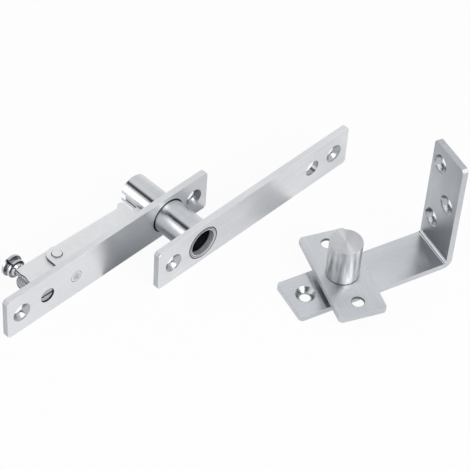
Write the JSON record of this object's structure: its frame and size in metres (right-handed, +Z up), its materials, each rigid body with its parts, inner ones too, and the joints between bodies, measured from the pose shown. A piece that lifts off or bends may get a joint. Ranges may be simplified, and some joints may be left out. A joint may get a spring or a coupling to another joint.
{
  "type": "pivot hinge",
  "caption": "Door pivot hinge set: upper frame and door plates on a retractable pin worked by a lever, and a floor pivot with a socket on an angle bracket.",
  "frame": {"origin": "floor point on the lower pivot's turning axis, on the strap's underside", "axes": "+Z up along the lower pivot's axis, +X along the upper frame plate, +Y toward the side of the upper mechanism"},
  "size_m": [0.184, 0.124, 0.06],
  "materials": {
    "satin_stainless": "brushed satin stainless strip",
    "turned_stainless": "fine turned stainless bar and tube",
    "pressed_steel": "pressed and tumbled stainless sheet",
    "bright_steel": "bright turned steel",
    "dark_washer": "dark sintered washer",
    "acetal": "white acetal"
  },
  "bodies": {
    "frame": {"frame_plate": "satin_stainless", "guide_tube": "turned_stainless", "retaining_clip": "pressed_steel", "fulcrum_bracket": "pressed_steel", "fulcrum_pin": "bright_steel", "fulcrum_rivet": "bright_steel", "floor_bracket": "satin_stainless", "spindle": "turned_stainless", "thrust_washer": "dark_washer"},
    "upper_door": {"upper_door_plate": "satin_stainless", "door_bush": "turned_stainless", "bush_liner": "turned_stainless"},
    "pin": {"pivot_pin": "turned_stainless"},
    "lever_arm": {"lever": "pressed_steel"},
    "nut": {"adjusting_nut": "bright_steel"},
    "screw": {"adjusting_screw": "bright_steel"},
    "lower_door": {"lower_door_plate": "satin_stainless", "socket": "turned_stainless", "socket_liner": "acetal", "thrust_pad": "acetal"}
  },
  "joints": [
    {"name": "upper_door_swing", "type": "hinge", "parent": "frame", "child": "upper_door", "pos_m": [-0.0343, 0.0635, 0.011], "axis": [0, -1, 0], "continuous": true},
    {"name": "pin_slide", "type": "slide", "parent": "frame", "child": "pin", "axis": [0, 1, 0], "range_m": [0, 0.01]},
    {"name": "lever_swing", "type": "hinge", "parent": "frame", "child": "lever_arm", "pos_m": [-0.0881, 0.0859, 0.011], "axis": [0, 0, 1], "range_deg": [0, 11.55]},
    {"name": "nut_slide", "type": "slide", "parent": "frame", "child": "nut", "axis": [0, 1, 0], "range_m": [-0.00327, 0]},
    {"name": "screw_turn", "type": "hinge", "parent": "frame", "child": "screw", "pos_m": [-0.1043, 0.0755, 0.011], "axis": [0, 1, 0], "continuous": true},
    {"name": "lower_door_swing", "type": "hinge", "parent": "frame", "child": "lower_door", "pos_m": [0, 0, 0.007], "axis": [0, 0, 1], "continuous": true}
  ],
  "couplings": [
    {"joint": "lever_swing", "follows": "pin_slide", "rad_per_m": 20.161},
    {"joint": "nut_slide", "follows": "pin_slide", "ratio": -0.32661}
  ]
}
